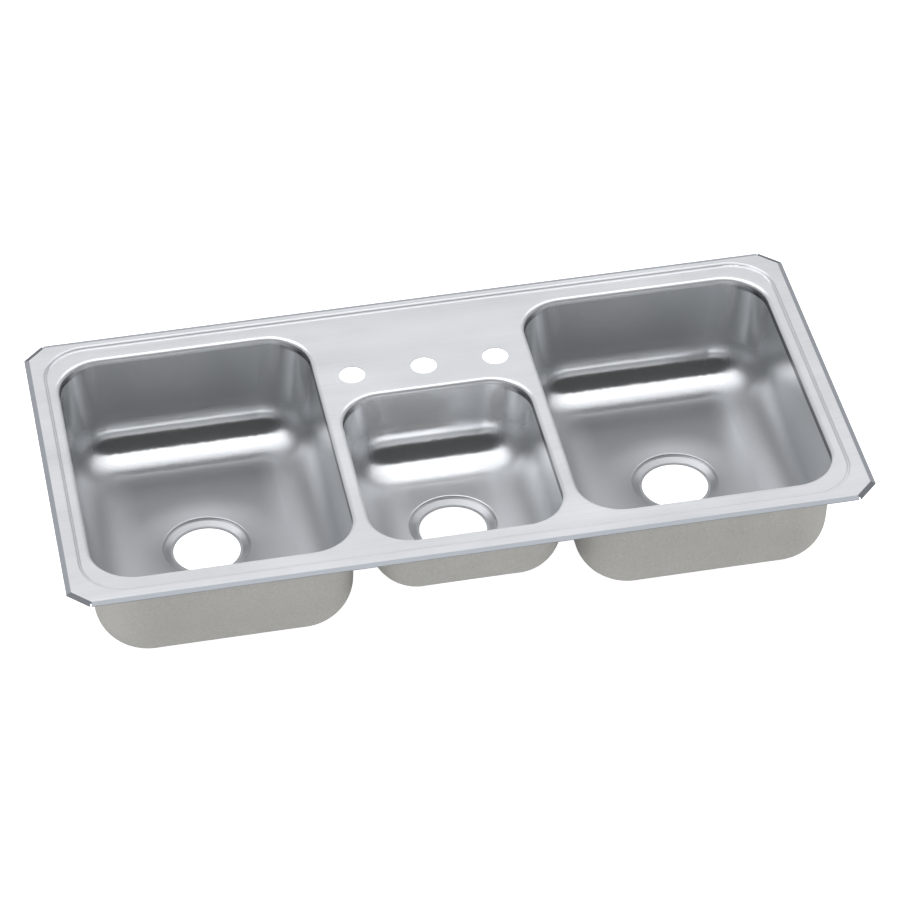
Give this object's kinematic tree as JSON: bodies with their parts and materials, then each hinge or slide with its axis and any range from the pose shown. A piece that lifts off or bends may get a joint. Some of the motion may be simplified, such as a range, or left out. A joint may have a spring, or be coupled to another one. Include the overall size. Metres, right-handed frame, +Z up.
{
  "type": "three compartment sink",
  "caption": "Drop-in stainless steel kitchen sink with a recessed deck, cut-corner rim, faucet holes and deep drawn bowls with drain openings.",
  "frame": {"origin": "underside of the large drain flanges, below the middle of the rim", "axes": "+X to the user's right along the rim, +Y from the user's edge towards the faucet ledge, +Z up"},
  "size_m": [1.0922, 0.5588, 0.179],
  "materials": {
    "deck_steel": "fine brushed grain along the length of the sink",
    "bowl_steel": "satin polished bowl interior",
    "undercoat": "sprayed speckled sound-deadening undercoat, matte",
    "rail_steel": "rolled strip, dull",
    "zinc_steel": "bright zinc plate"
  },
  "bodies": {
    "sink": {"deck": "deck_steel", "bowl_left": "bowl_steel", "bowl_center": "bowl_steel", "bowl_right": "bowl_steel", "undercoat_left": "undercoat", "undercoat_center": "undercoat", "undercoat_right": "undercoat", "rail_front": "rail_steel", "rail_back": "rail_steel", "rail_left": "rail_steel", "rail_right": "rail_steel"},
    "clip_bolt_left_1": {"clip_bolt_left_1": "zinc_steel"},
    "clip_claw_left_1": {"clip_claw_left_1": "zinc_steel"},
    "clip_nut_left_1": {"clip_nut_left_1": "zinc_steel"},
    "clip_bolt_left_2": {"clip_bolt_left_2": "zinc_steel"},
    "clip_claw_left_2": {"clip_claw_left_2": "zinc_steel"},
    "clip_nut_left_2": {"clip_nut_left_2": "zinc_steel"},
    "clip_bolt_right_1": {"clip_bolt_right_1": "zinc_steel"},
    "clip_claw_right_1": {"clip_claw_right_1": "zinc_steel"},
    "clip_nut_right_1": {"clip_nut_right_1": "zinc_steel"},
    "clip_bolt_right_2": {"clip_bolt_right_2": "zinc_steel"},
    "clip_claw_right_2": {"clip_claw_right_2": "zinc_steel"},
    "clip_nut_right_2": {"clip_nut_right_2": "zinc_steel"},
    "clip_bolt_back_1": {"clip_bolt_back_1": "zinc_steel"},
    "clip_claw_back_1": {"clip_claw_back_1": "zinc_steel"},
    "clip_nut_back_1": {"clip_nut_back_1": "zinc_steel"},
    "clip_bolt_back_2": {"clip_bolt_back_2": "zinc_steel"},
    "clip_claw_back_2": {"clip_claw_back_2": "zinc_steel"},
    "clip_nut_back_2": {"clip_nut_back_2": "zinc_steel"}
  },
  "joints": [
    {"name": "slide_left_1", "type": "slide", "parent": "sink", "child": "clip_bolt_left_1", "axis": [0, 1, 0], "range_m": [-0.08, 0.08]},
    {"name": "swing_left_1", "type": "hinge", "parent": "clip_bolt_left_1", "child": "clip_claw_left_1", "pos_m": [-0.532, -0.105, 0.151], "axis": [0, 0, 1], "range_deg": [0, 90]},
    {"name": "turn_left_1", "type": "hinge", "parent": "clip_bolt_left_1", "child": "clip_nut_left_1", "pos_m": [-0.532, -0.105, 0.1477], "axis": [0, 0, 1], "continuous": true},
    {"name": "slide_left_2", "type": "slide", "parent": "sink", "child": "clip_bolt_left_2", "axis": [0, 1, 0], "range_m": [-0.08, 0.08]},
    {"name": "swing_left_2", "type": "hinge", "parent": "clip_bolt_left_2", "child": "clip_claw_left_2", "pos_m": [-0.532, 0.105, 0.151], "axis": [0, 0, 1], "range_deg": [0, 90]},
    {"name": "turn_left_2", "type": "hinge", "parent": "clip_bolt_left_2", "child": "clip_nut_left_2", "pos_m": [-0.532, 0.105, 0.1477], "axis": [0, 0, 1], "continuous": true},
    {"name": "slide_right_1", "type": "slide", "parent": "sink", "child": "clip_bolt_right_1", "axis": [0, 1, 0], "range_m": [-0.08, 0.08]},
    {"name": "swing_right_1", "type": "hinge", "parent": "clip_bolt_right_1", "child": "clip_claw_right_1", "pos_m": [0.532, -0.105, 0.151], "axis": [0, 0, 1], "range_deg": [-90, 0]},
    {"name": "turn_right_1", "type": "hinge", "parent": "clip_bolt_right_1", "child": "clip_nut_right_1", "pos_m": [0.532, -0.105, 0.1477], "axis": [0, 0, 1], "continuous": true},
    {"name": "slide_right_2", "type": "slide", "parent": "sink", "child": "clip_bolt_right_2", "axis": [0, 1, 0], "range_m": [-0.08, 0.08]},
    {"name": "swing_right_2", "type": "hinge", "parent": "clip_bolt_right_2", "child": "clip_claw_right_2", "pos_m": [0.532, 0.105, 0.151], "axis": [0, 0, 1], "range_deg": [-90, 0]},
    {"name": "turn_right_2", "type": "hinge", "parent": "clip_bolt_right_2", "child": "clip_nut_right_2", "pos_m": [0.532, 0.105, 0.1477], "axis": [0, 0, 1], "continuous": true},
    {"name": "slide_back_1", "type": "slide", "parent": "sink", "child": "clip_bolt_back_1", "axis": [1, 0, 0], "range_m": [-0.15, 0.15]},
    {"name": "swing_back_1", "type": "hinge", "parent": "clip_bolt_back_1", "child": "clip_claw_back_1", "pos_m": [-0.24, 0.2508, 0.151], "axis": [0, 0, 1], "range_deg": [0, 90]},
    {"name": "turn_back_1", "type": "hinge", "parent": "clip_bolt_back_1", "child": "clip_nut_back_1", "pos_m": [-0.24, 0.2508, 0.1477], "axis": [0, 0, 1], "continuous": true},
    {"name": "slide_back_2", "type": "slide", "parent": "sink", "child": "clip_bolt_back_2", "axis": [1, 0, 0], "range_m": [-0.15, 0.15]},
    {"name": "swing_back_2", "type": "hinge", "parent": "clip_bolt_back_2", "child": "clip_claw_back_2", "pos_m": [0.24, 0.2508, 0.151], "axis": [0, 0, 1], "range_deg": [0, 90]},
    {"name": "turn_back_2", "type": "hinge", "parent": "clip_bolt_back_2", "child": "clip_nut_back_2", "pos_m": [0.24, 0.2508, 0.1477], "axis": [0, 0, 1], "continuous": true}
  ]
}
